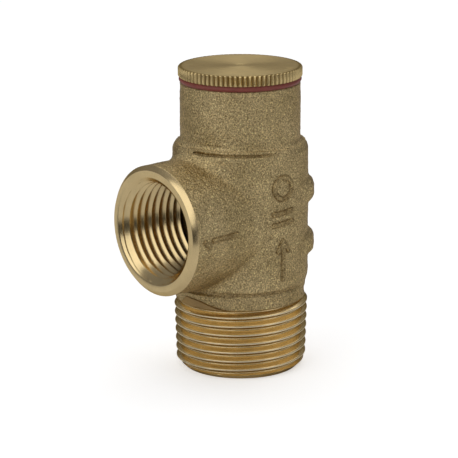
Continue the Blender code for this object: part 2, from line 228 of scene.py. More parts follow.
def helical_shell(radius_of, low, high, rows_a_turn, columns):
    """The points and quads of a thread between two heights, in rows that follow its helix."""
    rows = int(math.ceil((high - low) / PITCH * rows_a_turn)) + rows_a_turn
    row, column = np.meshgrid(np.arange(rows + 1), np.arange(columns + 1), indexing="ij")
    angle = column * 2 * math.pi / columns
    rise = PITCH * (1 - column / columns)
    height = low + (row / rows_a_turn) * PITCH - rise
    height = np.clip(height, low, high)
    radius = radius_of(angle, height)
    points = np.stack([radius * np.cos(angle), radius * np.sin(angle), height], axis=2)
    number = row * (columns + 1) + column
    quads = np.stack([number[:-1, :-1], number[:-1, 1:], number[1:, 1:], number[1:, :-1]], axis=2)
    return points.reshape(-1, 3), quads.reshape(-1, 4)


def thread_sleeve(radius_of, low, high, other_profile, rows_a_turn=32, columns=256):
    """A closed sleeve with a helical thread on one side.

    other_profile is the rest of its outline, (radius, height) points from the thread's high end
    round to its low end.
    """
    points, quads = helical_shell(radius_of, low, high, rows_a_turn, columns)
    angles = np.arange(columns) * 2 * math.pi / columns

    def rim(radius, height):
        return np.stack([radius * np.cos(angles), radius * np.sin(angles), np.full(columns, height)], 1)

    rims = [rim(radius_of(angles, np.full(columns, height)), height) for height in (high, low)]
    rims += [rim(radius, height) for radius, height in other_profile]
    loops = [range(len(points) + i * columns, len(points) + (i + 1) * columns) for i in range(len(rims))]
    ordered = [loops[0], *loops[2:], loops[1]]
    faces = [tuple(q) for q in quads]
    for below, above in zip(ordered, ordered[1:]):
        for j in range(columns):
            k = (j + 1) % columns
            faces.append((below[j], below[k], above[k], above[j]))
    return merged(np.concatenate([points, *rims]), faces)


# ---------------------------------------------------------------- the casting, as a distance field
def outline_distance(outline, radius, height):
    """Signed distance in the (radius, height) plane to a closed outline, negative inside."""
    nearest = np.full(radius.shape, 1e9)
    inside = np.zeros(radius.shape, bool)
    for (x0, y0), (x1, y1) in zip(outline, outline[1:] + outline[:1]):
        ex, ey = x1 - x0, y1 - y0
        length = ex * ex + ey * ey
        if length == 0:
            continue
        t = np.clip(((radius - x0) * ex + (height - y0) * ey) / length, 0, 1)
        dx, dy = radius - x0 - t * ex, height - y0 - t * ey
        nearest = np.minimum(nearest, dx * dx + dy * dy)
        crosses = (y0 > height) != (y1 > height)
        with np.errstate(divide="ignore", invalid="ignore"):
            at = x0 + (height - y0) * ex / ey if ey else x0
        inside ^= crosses & (radius < at)
    return np.where(inside, -1, 1) * np.sqrt(nearest)


def smooth_union(a, b, blend):
    h = np.clip(0.5 + 0.5 * (b - a) / blend, 0, 1)
    return b + (a - b) * h - blend * h * (1 - h)


def smooth_cut(a, b, blend):
    """a without b."""
    return -smooth_union(-a, b, blend)


def casting_outline():
    """Outer outline of the turned shapes of the casting, in millimetres, from the neck to the bonnet."""
    body_r, bonnet_r, top = BODY_R / MM, BONNET_R / MM, BONNET_TOP / MM
    shoulder_r = 2.05
    return [
        (0, 13.6),
        (12.95, 13.6),
        (12.97, 15.6),
        (13.12, 17.4),
        (body_r - 0.06, 18.9),
        (body_r, 21.0),
        (body_r, 44.2),
        *arc((body_r - shoulder_r, 44.55), shoulder_r, 4, 62, 7),
        (bonnet_r + 0.42, 46.45),
        (bonnet_r + 0.04, 46.85),
        (bonnet_r, 47.3),
        (bonnet_r, top - 0.2),
        (bonnet_r - 0.2, top),
        (0, top),
    ]


def casting_bore_outline():
    """What is bored out along the valve axis, in millimetres: inlet, seat, chamber and bonnet."""
    inlet_r = INLET_BORE_R / MM
    return [
        (0, 10),
        (inlet_r, 10),
        (inlet_r, 16.5),
        (9.4, 16.5),
        (9.4, 20.6),
        (9.7, 20.6),
        (9.7, 45),
        (10.1, 45.6),
        (10.1, 62),
        (0, 62),
    ]


def ridge(nearest, off, half_width=0.42, relief=0.42, rounding=0.2):
    """A flat-topped ridge with rounded shoulders."""
    across = np.maximum(nearest - half_width + rounding, 0)
    out = np.maximum(np.abs(off) - relief + rounding, 0)
    return np.hypot(across, out) - rounding


def raised_strokes(strokes, u, v, off):
    """Distance to strokes on a surface with coordinates u and v, where off is how far out a point is."""
    nearest = None
    for (u0, v0), (u1, v1) in strokes:
        du, dv = u1 - u0, v1 - v0
        t = np.clip(((u - u0) * du + (v - v0) * dv) / (du * du + dv * dv), 0, 1)
        d = np.sqrt((u - u0 - t * du) ** 2 + (v - v0 - t * dv) ** 2)
        nearest = d if nearest is None else np.minimum(nearest, d)
    return ridge(nearest, off)


def raised_marks(x, y, z):
    """Generic cast marks, as a distance in millimetres.

    There is a flow arrow on both sides, and on the -Y side a ring, two bars and a bar on the boss.
    """
    middle_x, nowhere = -0.75, 9.0
    off = np.hypot(x, y) - BODY_R / MM
    off_boss = np.hypot(y, z - OUTLET_Z / MM) - BOSS_R / MM - 0.12
    u = np.arctan2(x - middle_x, np.abs(y)) * BODY_R / MM
    arrow = [((0, 20.4), (0, 28.0)), ((0, 28.1), (-1.25, 26.1)), ((0, 28.1), (1.25, 26.1))]
    both = raised_strokes(arrow, u, z, off)
    bars = [((-2.3, 31.5), (2.3, 31.9)), ((-2.3, 33.7), (2.3, 34.1))]
    ring_z, ring_r = 38.8, 2.15
    ring = ridge(np.abs(np.hypot(u, z - ring_z) - ring_r), off)
    round_boss = np.arctan2(z - OUTLET_Z / MM, -y) * BOSS_R / MM
    boss_bars = [((-18.3, -0.1), (-12.4, 0.2)), ((-20.4, -0.1), (-19.3, -1.1))]
    front = np.minimum(raised_strokes(bars, u, z, off), ring)
    front = np.minimum(front, raised_strokes(boss_bars, x, round_boss, off_boss))
    return np.minimum(both, np.where(y < 0, front, nowhere))


def lattice_noise(shape, step, seed):
    """Smooth random values, about -1 to 1, with lumps of about step cells."""
    generator = np.random.default_rng(seed)
    values = generator.standard_normal([int(n / step) + 3 for n in shape]).astype(np.float32)
    for axis, n in enumerate(shape):
        at = np.arange(n) / step
        cell = at.astype(int)
        t = (at - cell).astype(np.float32)
        t = t * t * (3 - 2 * t)
        t = t.reshape([-1 if i == axis else 1 for i in range(3)])
        values = np.take(values, cell, axis) * (1 - t) + np.take(values, cell + 1, axis) * t
    return values


def lookup(outline, radius, height):
    """outline_distance by interpolation in a fine table, because the grid has millions of points."""
    fine, table_low = 0.05, 12
    table_r, table_z = np.arange(0, 30, fine), np.arange(table_low, 60, fine)
    table = outline_distance(outline, *np.meshgrid(table_r, table_z, indexing="ij")).astype(np.float32)
    i, j = radius / fine, (height - table_low) / fine
    i0 = np.clip(i.astype(int), 0, len(table_r) - 2)
    j0 = np.clip(j.astype(int), 0, len(table_z) - 2)
    u, v = i - i0, j - j0
    low_side = (1 - v) * table[i0, j0] + v * table[i0, j0 + 1]
    high_side = (1 - v) * table[i0 + 1, j0] + v * table[i0 + 1, j0 + 1]
    return (1 - u) * low_side + u * high_side


def with_ribs(shape, r, angle, z):
    """The casting with two short ribs on the side away from the outlet."""
    rounding, middle_r, half_height, half_angle = 1.1, 12.9, 0.85, math.radians(50)
    end_softness, blend = 0.30, 1.3
    for centre in RIB_CENTRES_Z:
        side = np.maximum((np.abs(angle) - half_angle) * r, 0)
        out = np.maximum(np.abs(r - middle_r) - (RIB_R / MM - middle_r - rounding), 0)
        up = np.maximum(np.abs(z - centre / MM) - half_height, 0)
        rib = np.sqrt(side * side * end_softness + out * out + up * up) - rounding
        shape = smooth_union(shape, rib, blend)
    return shape


def with_creases(shape, r, angle, z):
    """The casting with its creases: a fold and a vee at the neck, and one below a bead at the shoulder.

    The fold is on the camera's side and the vee on the others.
    """
    seen = np.clip(np.cos(angle - math.atan2(TO_CAMERA.y, TO_CAMERA.x)), 0, 1)
    fold = np.sqrt((r - 13.35) ** 2 + (z - FOLD_Z / MM) ** 2) - 0.52 * np.clip(2.2 * seen - 0.3, 0, 1)
    shape = smooth_cut(shape, fold, 0.3)
    vee = np.sqrt((r - 13.8) ** 2 + (z - 16.05) ** 2) - 1.5 * np.clip(1 - 1.5 * seen, 0, 1)
    shape = smooth_cut(shape, vee, 0.2)
    bead = np.sqrt((r - 12.93) ** 2 + (z - 46.25) ** 2) - 0.30 * crease_share(angle)
    shape = smooth_union(shape, bead, 0.25)
    crease = np.sqrt((r - 13.2) ** 2 + ((z - CREASE_Z / MM) * 1.2) ** 2) - 0.30 * crease_share(angle)
    return smooth_cut(shape, crease, 0.12)


def casting_field(voxel):
    """The casting's distance field in millimetres on the valve axis, and the grid's lowest corner."""
    low = np.array((-OUTLET_REACH / MM - 0.6, -BODY_R / MM - 1.2, 13.0))
    high = np.array((RIB_R / MM + 0.8, BODY_R / MM + 1.2, BONNET_TOP / MM + 0.8))
    count = np.ceil((high - low) / voxel).astype(int)
    axes = [(low[i] + voxel * np.arange(count[i])).astype(np.float32) for i in range(3)]
    x, y, z = np.meshgrid(*axes, indexing="ij")
    r = np.sqrt(x * x + y * y)
    angle = np.arctan2(y, x)

    boss_end, boss_draft = -(OUTLET_REACH - BOSS_EDGE) / MM, 0.012
    across = np.sqrt(y * y + (z - OUTLET_Z / MM) ** 2)
    widening = np.clip(x - boss_end, 0, 30) * boss_draft
    boss = np.maximum(across - (BOSS_R / MM + widening), boss_end - x)
    boss = np.maximum(boss, x)
    # The fillet is narrow where the two surfaces run into each other, and wide where they meet squarely.
    same_way = np.clip(y * y / np.maximum(r * across, 1), 0, 1)
    fillet = 0.3 + 2.6 * (1 - same_way) ** 1.2
    shape = smooth_union(lookup(casting_outline(), r, z), boss, fillet)
    shape = with_ribs(shape, r, angle, z)
    shape = with_creases(shape, r, angle, z)
    shape = smooth_union(shape, raised_marks(x, y, z), 0.06)

    # Unevenness: its height in millimetres, then the cells a lump and the seed.
    shape += 0.035 * lattice_noise(shape.shape, 11, 5) + 0.02 * lattice_noise(shape.shape, 4.2, 7)
    shape += 0.022 * lattice_noise(shape.shape, 2.0, 11)

    # Flat ends, and room for the threaded pieces and the bores.
    neck_z, far_inside, socket_x, clearance = 17, -5, -7, 0.03
    shape = np.maximum(shape, z - BONNET_TOP / MM)
    shape = np.maximum(shape, boss_end - x)
    shape = np.maximum(shape, CASTING_LOW_Z / MM - z)
    threaded = (r - (inlet_thread_r(angle, z * MM) / MM - clearance)) * 0.8
    shape = np.maximum(shape, np.where(z < neck_z, threaded, far_inside))
    shape = np.maximum(shape, -lookup(casting_bore_outline(), r, z))
    socket = np.maximum(across - (SOCKET_SHELL_R / MM - 0.2), x - socket_x)
    shape = np.maximum(shape, -socket)
    return shape.astype(np.float32), low


def crease_share(angle):
    """Where round the axis the shoulder has its crease, 0 to 1."""
    middle, half_span, fade = VIEW_AZIMUTH - math.radians(98), 49, 18
    from_middle = np.degrees(np.abs((angle - middle + math.pi) % (2 * math.pi) - math.pi))
    return np.clip((half_span - from_middle) / fade, 0, 1)


def painted_crease_shade(points):
    """How much shade is painted at each point, 0 to 1: at the foot of the cast marks, along the shoulder's
    crease, and along the neck's fold with a wash below it on the camera's side.
    """
    x, y, z = (points / MM - np.array((AXIS_X / MM, 0, 0))).T
    r = np.hypot(x, y)
    seen = np.clip((x * TO_CAMERA.x + y * TO_CAMERA.y) / r * 2.2 - 0.5, 0, 1)
    outside_r, neck_r, chamber_r, socket_r = 12.2, 13.6, 11, 11.5
    outside = r > outside_r

    def line(distance, half_width):
        return np.exp(-(distance / half_width) ** 2)

    # Painted shade: dark lines in the shoulder's crease, along the neck's fold and at the foot of the cast
    # marks, and a wash below the fold on the camera's side.
    shoulder = 0.7 * line(z - CREASE_Z / MM - 0.02, 0.16) * outside * crease_share(np.arctan2(y, x))
    neck = np.maximum(0.7 * line(z - FOLD_Z / MM + 0.05, 0.3), 0.2 * (z < FOLD_Z / MM - 0.1))
    neck = neck * outside * (r < neck_r) * seen
    marks = 0.8 * line(raised_marks(x, y, z) - 0.09, 0.12)
    inside = (r < chamber_r) & (np.hypot(y, z - OUTLET_Z / MM) < socket_r)
    return np.where(inside, 0, np.maximum(marks, np.maximum(shoulder, neck)))


def make_casting():
    voxel = 0.16
    band = 3 * voxel
    field, low = casting_field(voxel)
    grid = openvdb.FloatGrid(band)
    grid.copyFromArray(np.clip(field, -band, band))
    points, quads = grid.convertToQuads(0.0)
    points = np.asarray(points, float) * voxel + low
    obj = mesh_object("valve_body_casting", place(points * MM), np.asarray(quads)[:, ::-1], 60)
    places = np.empty(len(obj.data.vertices) * 3)
    obj.data.vertices.foreach_get("co", places)
    # The painted shade, stored per point for the casting's colour.
    painted_shade = obj.data.attributes.new("painted_shade", "FLOAT", "POINT")
    painted_shade.data.foreach_set("value", painted_crease_shade(places.reshape(-1, 3)))
    return obj


# ---------------------------------------------------------------- machined parts of the body
def make_inlet_thread():
    def surface(angle, height):
        return np.minimum(inlet_thread_r(angle, height), inlet_blank_r(angle, height))

    lid = INLET_HIGH_Z + 0.05 * MM
    chamfer = 0.5 * MM
    rest = [
        (12.3 * MM, lid),
        (INLET_BORE_R, lid),
        (INLET_BORE_R, chamfer),
        (INLET_BORE_R + chamfer, 0),
    ]
    points, faces = thread_sleeve(surface, 0.0, INLET_HIGH_Z, rest)
    return mesh_object("inlet_pipe_thread", place(points), [f[::-1] for f in faces], 28)


OUTLET_TURN = Matrix.Rotation(math.radians(-90), 4, "Y")  # +Z goes to -X, out of the outlet


def outlet_thread_r(angle, height):
    """Radius of the female thread, at a height along the outlet's axis, counted from the valve axis."""
    depth_in = OUTLET_REACH - height
    start = 0.67  # of a turn
    phase = height / PITCH - angle / (2 * math.pi) + start
    root = OUTLET_ROOT_R - depth_in * TAPER
    return root - OUTLET_THREAD_DEPTH * (1 - tapped_groove(phase))


def make_outlet_socket():
    face = OUTLET_REACH
    edge, countersink_slope = 0.08 * MM, 1.25
    back = face - BOSS_EDGE - 0.15 * MM  # just inside the casting

    def surface(angle, height):
        countersink = MOUTH_R - (face - height) * countersink_slope
        return np.maximum(outlet_thread_r(angle, height), countersink)

    rest = [
        (MOUTH_R + 0.06 * MM, face),
        (BOSS_FACE_R - edge, face),
        (BOSS_FACE_R + edge, face - 0.10 * MM),
        (BOSS_R + 0.03 * MM, face - BOSS_EDGE),
        (BOSS_R - 0.3 * MM, back),
        (SOCKET_SHELL_R, back),
        (SOCKET_SHELL_R, SOCKET_END),
    ]
    points, faces = thread_sleeve(surface, SOCKET_END, face - 0.06 * MM, rest)
    inside = place(points, (0, 0, OUTLET_Z), OUTLET_TURN)
    return mesh_object("outlet_socket", inside, faces, 28)


# ---------------------------------------------------------------- the cap
TEETH = 78
KNURL_DEPTH = 0.44 * MM
KNURL_INNER_R = CAP_R - 0.7 * MM  # the knurl is outside this radius


def make_cap():
    shank_r, shank_edge = 9.7 * MM, 0.7 * MM
    groove_r = 8.2 * MM  # of the O-ring's groove
    bush_r, bush_edge, bush_top = 4.2 * MM, 0.3 * MM, 57.0 * MM
    edge, bevel = 0.25 * MM, 0.30 * MM
    dimple_r, dimple_depth = 0.45, 0.16 * MM
    top, under = CAP_TOP, CAP_UNDER

    def knurled(radius, angle):
        teeth = 2 * np.abs((angle * TEETH / (2 * math.pi)) % 1 - 0.5)
        cut = KNURL_DEPTH * np.clip(1.15 * teeth ** 1.1, 0, 1)
        return np.where(radius > KNURL_INNER_R, np.minimum(radius, CAP_R - cut), radius)

    rim = [
        (CAP_R - 1.0 * MM, under),
        (CAP_R - edge, under),
        (CAP_R, under + edge),
        (CAP_R, under + 0.5 * (top - under)),
        (CAP_R, top - bevel),
        (CAP_R - 0.13 * MM, top - 0.11 * MM),
        (CAP_R - bevel, top),
        (CAP_R - 0.8 * MM, top),
        (CAP_R - 1.2 * MM, top),
    ]
    face = [(r * MM, top) for r in (9.0, 6.0, 3.0, dimple_r)] + [(0, top - dimple_depth)]
    shank = [
        (0, bush_top),
        (bush_r, bush_top),
        (bush_r, CAP_LOW.z + bush_edge),
        (bush_r + bush_edge, CAP_LOW.z),
        (shank_r - shank_edge, CAP_LOW.z),
        (shank_r, CAP_LOW.z + shank_edge),
        (shank_r, 56.2 * MM),
        (groove_r, 56.25 * MM),
        (groove_r, 57.95 * MM),
        (shank_r, 58.0 * MM),
        (shank_r, under),
    ]
    points, faces = lathe(shank + rim + face, TEETH * 10, knurled)
    return mesh_object("adjusting_cap_knurled", place(points), faces, 30)


def make_cap_marks():
    """Generic ticks near the cap's rim, in two groups, as thin blocks sunk into its top."""
    outer, long_inner, short_inner, half_width = 11.0 * MM, 9.4 * MM, 10.0 * MM, 0.12 * MM
    depth, proud = 0.1 * MM, 0.012 * MM
    block = ((3, 2, 1, 0), (4, 5, 6, 7), (0, 1, 5, 4), (1, 2, 6, 5), (2, 3, 7, 6), (3, 0, 4, 7))
    points, faces = [], []
    for middle in (-75, 75):
        for step in range(-3, 4):
            angle = VIEW_AZIMUTH - math.pi / 2 + math.radians(middle + step * 7)
            out = np.array((math.cos(angle), math.sin(angle), 0))
            across = np.array((-math.sin(angle), math.cos(angle), 0)) * half_width
            inner = short_inner if step % 3 else long_inner
            corners = [out * inner - across, out * outer - across, out * outer + across, out * inner + across]
            faces += [tuple(len(points) + i for i in side) for side in block]
            points += [c + np.array((0, 0, CAP_TOP + dz)) for dz in (-depth, proud) for c in corners]
    return mesh_object("cap_ticks", place(points), faces)


def make_seal_ring():
    low, high = BONNET_TOP, CAP_UNDER
    inner, outer = 10.0 * MM, box_radius("cap_seal_ring")
    lip = outer - 0.25 * MM
    profile = [(inner, low), (lip, low)]
    profile += arc((outer - 0.35 * MM, (low + high) / 2), 0.42 * MM, -65, 65, 6)
    profile += [(lip, high), (inner, high)]
    points, faces = lathe(profile, 192)
    return mesh_object("red_seal_ring", place(points), faces, 40)


# ---------------------------------------------------------------- pieces inside
def make_spring():
    low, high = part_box("pressure_spring")
    wire, mean = 1.05 * MM, 6.6 * MM  # radius of the wire and of the coil
    turns, closed, easing = 7.5, 1.0, 0.25  # closed is wound flat at each end
    steps, sides = 48, 20
    count = int(turns * steps)
    rise_closed = 2.15 * wire
    rise_open = (high.z - low.z - 2 * wire - 2 * closed * rise_closed) / (turns - 2 * closed)
    height, points = low.z + wire, []
    for i in range(count + 1):
        turn = i / steps
        angle = 2 * math.pi * turn
        centre = np.array((mean * math.cos(angle), mean * math.sin(angle), height))
        out = np.array((math.cos(angle), math.sin(angle), 0))
        for k in range(sides):
            a = 2 * math.pi * k / sides
            points.append(centre + wire * (math.cos(a) * out + math.sin(a) * np.array((0, 0, 1))))
        share = min(max((turn - closed) / easing, 0), 1) * min(max((turns - closed - turn) / easing, 0), 1)
        height += (rise_closed + (rise_open - rise_closed) * share) / steps
    points = np.array(points)
    stretch = (high.z - low.z - 2 * wire) / (height - rise_closed / steps - low.z - wire)
    points[:, 2] = low.z + wire + (points[:, 2] - low.z - wire) * stretch
    points[:, 2] = np.clip(points[:, 2], low.z, high.z)
    faces = []
    for i in range(count):
        for k in range(sides):
            n = (k + 1) % sides
            faces.append((i * sides + k, (i + 1) * sides + k, (i + 1) * sides + n, i * sides + n))
    faces.append(tuple(range(sides)))
    faces.append(tuple(count * sides + k for k in reversed(range(sides))))
    obj = mesh_object("pressure_spring_coil", place(points), faces, 45)
    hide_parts("pressure_spring")
    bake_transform(obj)
    return obj


# ---------------------------------------------------------------- materials
EDGE_TINT = (0.82, 0.71, 0.50)  # of machined brass at grazing angles


def new_material(name, colour, roughness, metallic):
    material = bpy.data.materials.new(name)
    material.use_nodes = True
    tree = material.node_tree
    shader = tree.nodes["Principled BSDF"]
    shader.inputs["Base Color"].default_value = (*colour, 1)
    shader.inputs["Roughness"].default_value = roughness
    shader.inputs["Metallic"].default_value = metallic
    return material, tree, shader


def node(tree, kind, **values):
    made = tree.nodes.new(kind)
    for key, value in values.items():
        if key in made.inputs:
            made.inputs[key].default_value = value
        else:
            setattr(made, key, value)
    return made


def object_point(tree, origin=(0, 0, 0)):
    """Object coordinates, counted from an origin."""
    coordinates = node(tree, "ShaderNodeTexCoord")
    mapping = node(tree, "ShaderNodeMapping", vector_type="POINT")
    mapping.inputs["Location"].default_value = tuple(-o for o in origin)
    tree.links.new(coordinates.outputs["Object"], mapping.inputs["Vector"])
    return mapping.outputs["Vector"]


def noise(tree, vector, scale, detail, roughness):
    made = node(tree, "ShaderNodeTexNoise", Scale=scale, Detail=detail, Roughness=roughness)
    tree.links.new(vector, made.inputs["Vector"])
    return made.outputs["Fac"]


def ramp(tree, factor, stops):
    made = tree.nodes.new("ShaderNodeValToRGB")
    while len(made.color_ramp.elements) < len(stops):
        made.color_ramp.elements.new(0.5)
    for element, (position, colour) in zip(made.color_ramp.elements, stops):
        element.position = position
        element.color = (*colour, 1)
    tree.links.new(factor, made.inputs["Fac"])
    return made.outputs["Color"]


def remap(tree, factor, low, high, to_low, to_high):
    made = node(tree, "ShaderNodeMapRange")
    ends = (("From Min", low), ("From Max", high), ("To Min", to_low), ("To Max", to_high))
    for key, value in ends:
        made.inputs[key].default_value = value
    tree.links.new(factor, made.inputs["Value"])
    return made.outputs["Result"]


def bump(tree, shader, height, distance, strength=1.0, under=None):
    made = node(tree, "ShaderNodeBump", Strength=strength, Distance=distance)
    tree.links.new(height, made.inputs["Height"])
    if under is not None:
        tree.links.new(under, made.inputs["Normal"])
    tree.links.new(made.outputs["Normal"], shader.inputs["Normal"])
    return made.outputs["Normal"]


def multiply(tree, factor, colour, by):
    """colour times by, to the share factor. factor and by are sockets or constants."""
    made = node(tree, "ShaderNodeMix", data_type="RGBA", blend_type="MULTIPLY")
    for socket, value in ((made.inputs[0], factor), (made.inputs[6], colour), (made.inputs[7], by)):
        if isinstance(value, bpy.types.NodeSocket):
            tree.links.new(value, socket)
        else:
            socket.default_value = value
    return made.outputs[2]


def cast_brass():
    material, tree, shader = new_material("cast_brass_grain", (0.55, 0.42, 0.22), 0.46, 1.0)
    point = object_point(tree)
    grain = noise(tree, point, 3700, 2.0, 0.6)
    coarse = noise(tree, point, 1300, 2.0, 0.5)
    patches = noise(tree, point, 110, 3.0, 0.55)
    colour = ramp(tree, patches, [(0.3, (0.49, 0.375, 0.185)), (0.7, (0.64, 0.50, 0.27))])
    # Grain tone, and painted glints: the top stops make the brightest grains up to three times the colour.
    grain_and_glint_stops = [
        (0.30, (0.40, 0.37, 0.30)),
        (0.50, (0.92, 0.92, 0.92)),
        (0.64, (1.45, 1.43, 1.36)),
        (0.76, (3.0, 2.9, 2.5)),
    ]
    grain_and_glints = multiply(tree, 1.0, colour, ramp(tree, grain, grain_and_glint_stops))
    # Painted shade: the colour is darkened where the casting's painted shade mask is set, in the creases, at
    # the neck and round the marks.
    painted_shade = node(tree, "ShaderNodeAttribute", attribute_name="painted_shade")
    with_painted_shade = multiply(tree, painted_shade.outputs["Fac"], grain_and_glints, (0.42, 0.36, 0.28, 1))
    tree.links.new(with_painted_shade, shader.inputs["Base Color"])
    shader.inputs["Specular Tint"].default_value = (0.55, 0.50, 0.48, 1)
    tree.links.new(remap(tree, patches, 0.3, 0.7, 0.38, 0.46), shader.inputs["Roughness"])
    first = bump(tree, shader, coarse, 0.16 * MM, 0.8)
    bump(tree, shader, grain, 0.17 * MM, 1.0, first)
    return material


def turned_brass(
    name, axis, colour, roughness=0.25, line_scale=9000, line_depth=0.004, anisotropy=0.0, edge=EDGE_TINT
):
    """Machined brass with lathe lines round an axis: rings on faces across it, hoops on its sides.

    line_depth is in millimetres, and edge is the colour at grazing angles.
    """
    material, tree, shader = new_material(name, colour, roughness, 1.0)
    shader.inputs["Specular Tint"].default_value = (*edge, 1)
    origin = (AXIS_X, 0, 0) if axis == "Z" else (0, 0, OUTLET_Z)
    point = object_point(tree, origin)
    parts = node(tree, "ShaderNodeSeparateXYZ")
    tree.links.new(point, parts.inputs["Vector"])
    across, along = (("X", "Y"), "Z") if axis == "Z" else (("Y", "Z"), "X")
    squares = []
    for name_of in across:
        square = node(tree, "ShaderNodeMath", operation="POWER")
        tree.links.new(parts.outputs[name_of], square.inputs[0])
        square.inputs[1].default_value = 2.0
        squares.append(square.outputs[0])
    total = node(tree, "ShaderNodeMath", operation="ADD")
    tree.links.new(squares[0], total.inputs[0])
    tree.links.new(squares[1], total.inputs[1])
    distance = node(tree, "ShaderNodeMath", operation="SQRT")
    tree.links.new(total.outputs[0], distance.inputs[0])
    line_point = node(tree, "ShaderNodeCombineXYZ")
    tree.links.new(distance.outputs[0], line_point.inputs["X"])
    tree.links.new(parts.outputs[along], line_point.inputs["Z"])
    lines = noise(tree, line_point.outputs["Vector"], line_scale, 3.0, 0.7)
    patches = noise(tree, point, 260, 3.0, 0.6)
    dark = tuple(c * 0.93 for c in colour)
    light = tuple(min(c * 1.05, 1) for c in colour)
    tree.links.new(ramp(tree, patches, [(0.32, dark), (0.68, light)]), shader.inputs["Base Color"])
    varied = remap(tree, lines, 0.3, 0.7, roughness * 0.85, roughness * 1.25)
    tree.links.new(varied, shader.inputs["Roughness"])
    bump(tree, shader, lines, line_depth * MM, 1.0)
    if anisotropy:
        shader.inputs["Anisotropic"].default_value = anisotropy
        shader.inputs["Anisotropic Rotation"].default_value = 0.25
        tangent = node(tree, "ShaderNodeTangent", direction_type="RADIAL", axis=axis)
        tree.links.new(tangent.outputs["Tangent"], shader.inputs["Tangent"])
    return material


def soft_solid(name, colour, roughness, speckle=0.12, scale=900, depth=0.02):
    """Rubber, fibre and plastic: a mottled, slightly uneven surface."""
    material, tree, shader = new_material(name, colour, roughness, 0.0)
    point = object_point(tree)
    spots = noise(tree, point, scale, 3.0, 0.6)
    dark = tuple(c * (1 - speckle) for c in colour)
    light = tuple(min(c * (1 + speckle), 1) for c in colour)
    tree.links.new(ramp(tree, spots, [(0.3, dark), (0.7, light)]), shader.inputs["Base Color"])
    varied = remap(tree, spots, 0.3, 0.7, roughness * 0.9, min(roughness * 1.15, 1))
    tree.links.new(varied, shader.inputs["Roughness"])
    bump(tree, shader, spots, depth * MM, 0.6)
    return material


def steel():
    material, tree, shader = new_material("drawn_steel", (0.72, 0.71, 0.69), 0.28, 1.0)
    shader.inputs["Specular Tint"].default_value = (0.9, 0.9, 0.9, 1)
    point = object_point(tree)
    marks = noise(tree, point, 2500, 3.0, 0.6)
    colour = ramp(tree, marks, [(0.3, (0.62, 0.61, 0.59)), (0.7, (0.80, 0.79, 0.77))])
    tree.links.new(colour, shader.inputs["Base Color"])
    tree.links.new(remap(tree, marks, 0.3, 0.7, 0.22, 0.36), shader.inputs["Roughness"])
    bump(tree, shader, marks, 0.005 * MM, 0.6)
    return material


def finish_piece(obj, material, body=None):
    obj.data.materials.clear()
    obj.data.materials.append(material)
    if body is not None:
        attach(obj, body)
    return obj


def also_material(obj, material, chosen):
    """A second material on the faces whose centre, in millimetres from the valve axis, is chosen."""
    obj.data.materials.append(material)
    index = len(obj.data.materials) - 1
    for face in obj.data.polygons:
        x, y, z = face.center
        if chosen((x - AXIS_X) / MM, y / MM, z / MM):
            face.material_index = index


# ---------------------------------------------------------------- build
def build_body(materials):
    casting = finish_piece(make_casting(), materials["cast"], "root")
    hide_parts("valve_body")
    inlet = finish_piece(make_inlet_thread(), materials["inlet"], "root")
    crest_r, crest_low, crest_high, skimmed_low = INLET_CREST_R / MM - 0.028, 1.6, 14, 14.15

    # Painted highlight: the crest tips of the inlet thread get a paler, brighter brass.
    def on_crest(x, y, z):
        return crest_low < z < crest_high and math.hypot(x, y) > crest_r + z * TAPER

    also_material(inlet, materials["crest"], on_crest)
    also_material(inlet, materials["skimmed"], lambda x, y, z: z > skimmed_low)
    finish_piece(make_outlet_socket(), materials["outlet"], "root")


def build_cap(materials):
    cap = finish_piece(make_cap(), materials["cap"], "cap")
    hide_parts("adjusting_cap")
    top, rim = CAP_TOP / MM, KNURL_INNER_R / MM
    groove_outer = (CAP_R - 0.62 * KNURL_DEPTH) / MM

    # Painted shade: the cap's knurled side, and all of it below the top, get a darker brass than its top
    # face.
    def in_knurl(x, y, z):
        return z < top - 0.01 or math.hypot(x, y) > rim + 0.1

    # Painted shade: the deep part of the knurl's grooves gets a darker brass still.
    def in_shaded_groove(x, y, z):
        return z < top - 0.03 and rim < math.hypot(x, y) < groove_outer

    also_material(cap, materials["knurl"], in_knurl)
    also_material(cap, materials["groove"], in_shaded_groove)
    finish_piece(make_cap_marks(), materials["tick"], "cap")
    ring = finish_piece(make_seal_ring(), materials["red"], "root")
    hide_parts("cap_seal_ring")


def build_inside(materials):
    for name in ("seat_ring", "disc_holder", "spring_button"):
        finish_piece(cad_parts[name], materials["turned"])
    for name in ("disc_retainer", "disc_screw", "valve_stem", "stem_pin", "lower_spring_seat"):
        finish_piece(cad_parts[name], materials["steel"])
    for name in ("seat_oring", "seat_disc", "cap_oring"):
        finish_piece(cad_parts[name], materials["black"])
    for name in ("thrust_washer", "stem_bush"):
        finish_piece(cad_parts[name], materials["plastic"])
    finish_piece(make_spring(), materials["steel"])


def build_stage():
    """A pale floor. The camera sees it lit from below as well, and reflections see it as plain paper."""

    def sheet(name, height, glow):
        reach = 3
        corners = ((-reach, -reach), (reach, -reach), (reach, reach), (-reach, reach))
        obj = mesh_object(name, [(x, y, height) for x, y in corners], [(0, 1, 2, 3)])
        material, _, shader = new_material(name, (0.86, 0.86, 0.86), 0.9, 0.0)
        shader.inputs["Specular IOR Level"].default_value = 0.1
        shader.inputs["Emission Color"].default_value = (1, 1, 1, 1)
        shader.inputs["Emission Strength"].default_value = glow
        obj.data.materials.append(material)
        return obj

    floor = sheet("floor", 0, 0.50)
    floor.visible_glossy = floor.visible_diffuse = floor.visible_shadow = False
    sheet("floor_paper", -0.2 * MM, 0.0).visible_camera = False


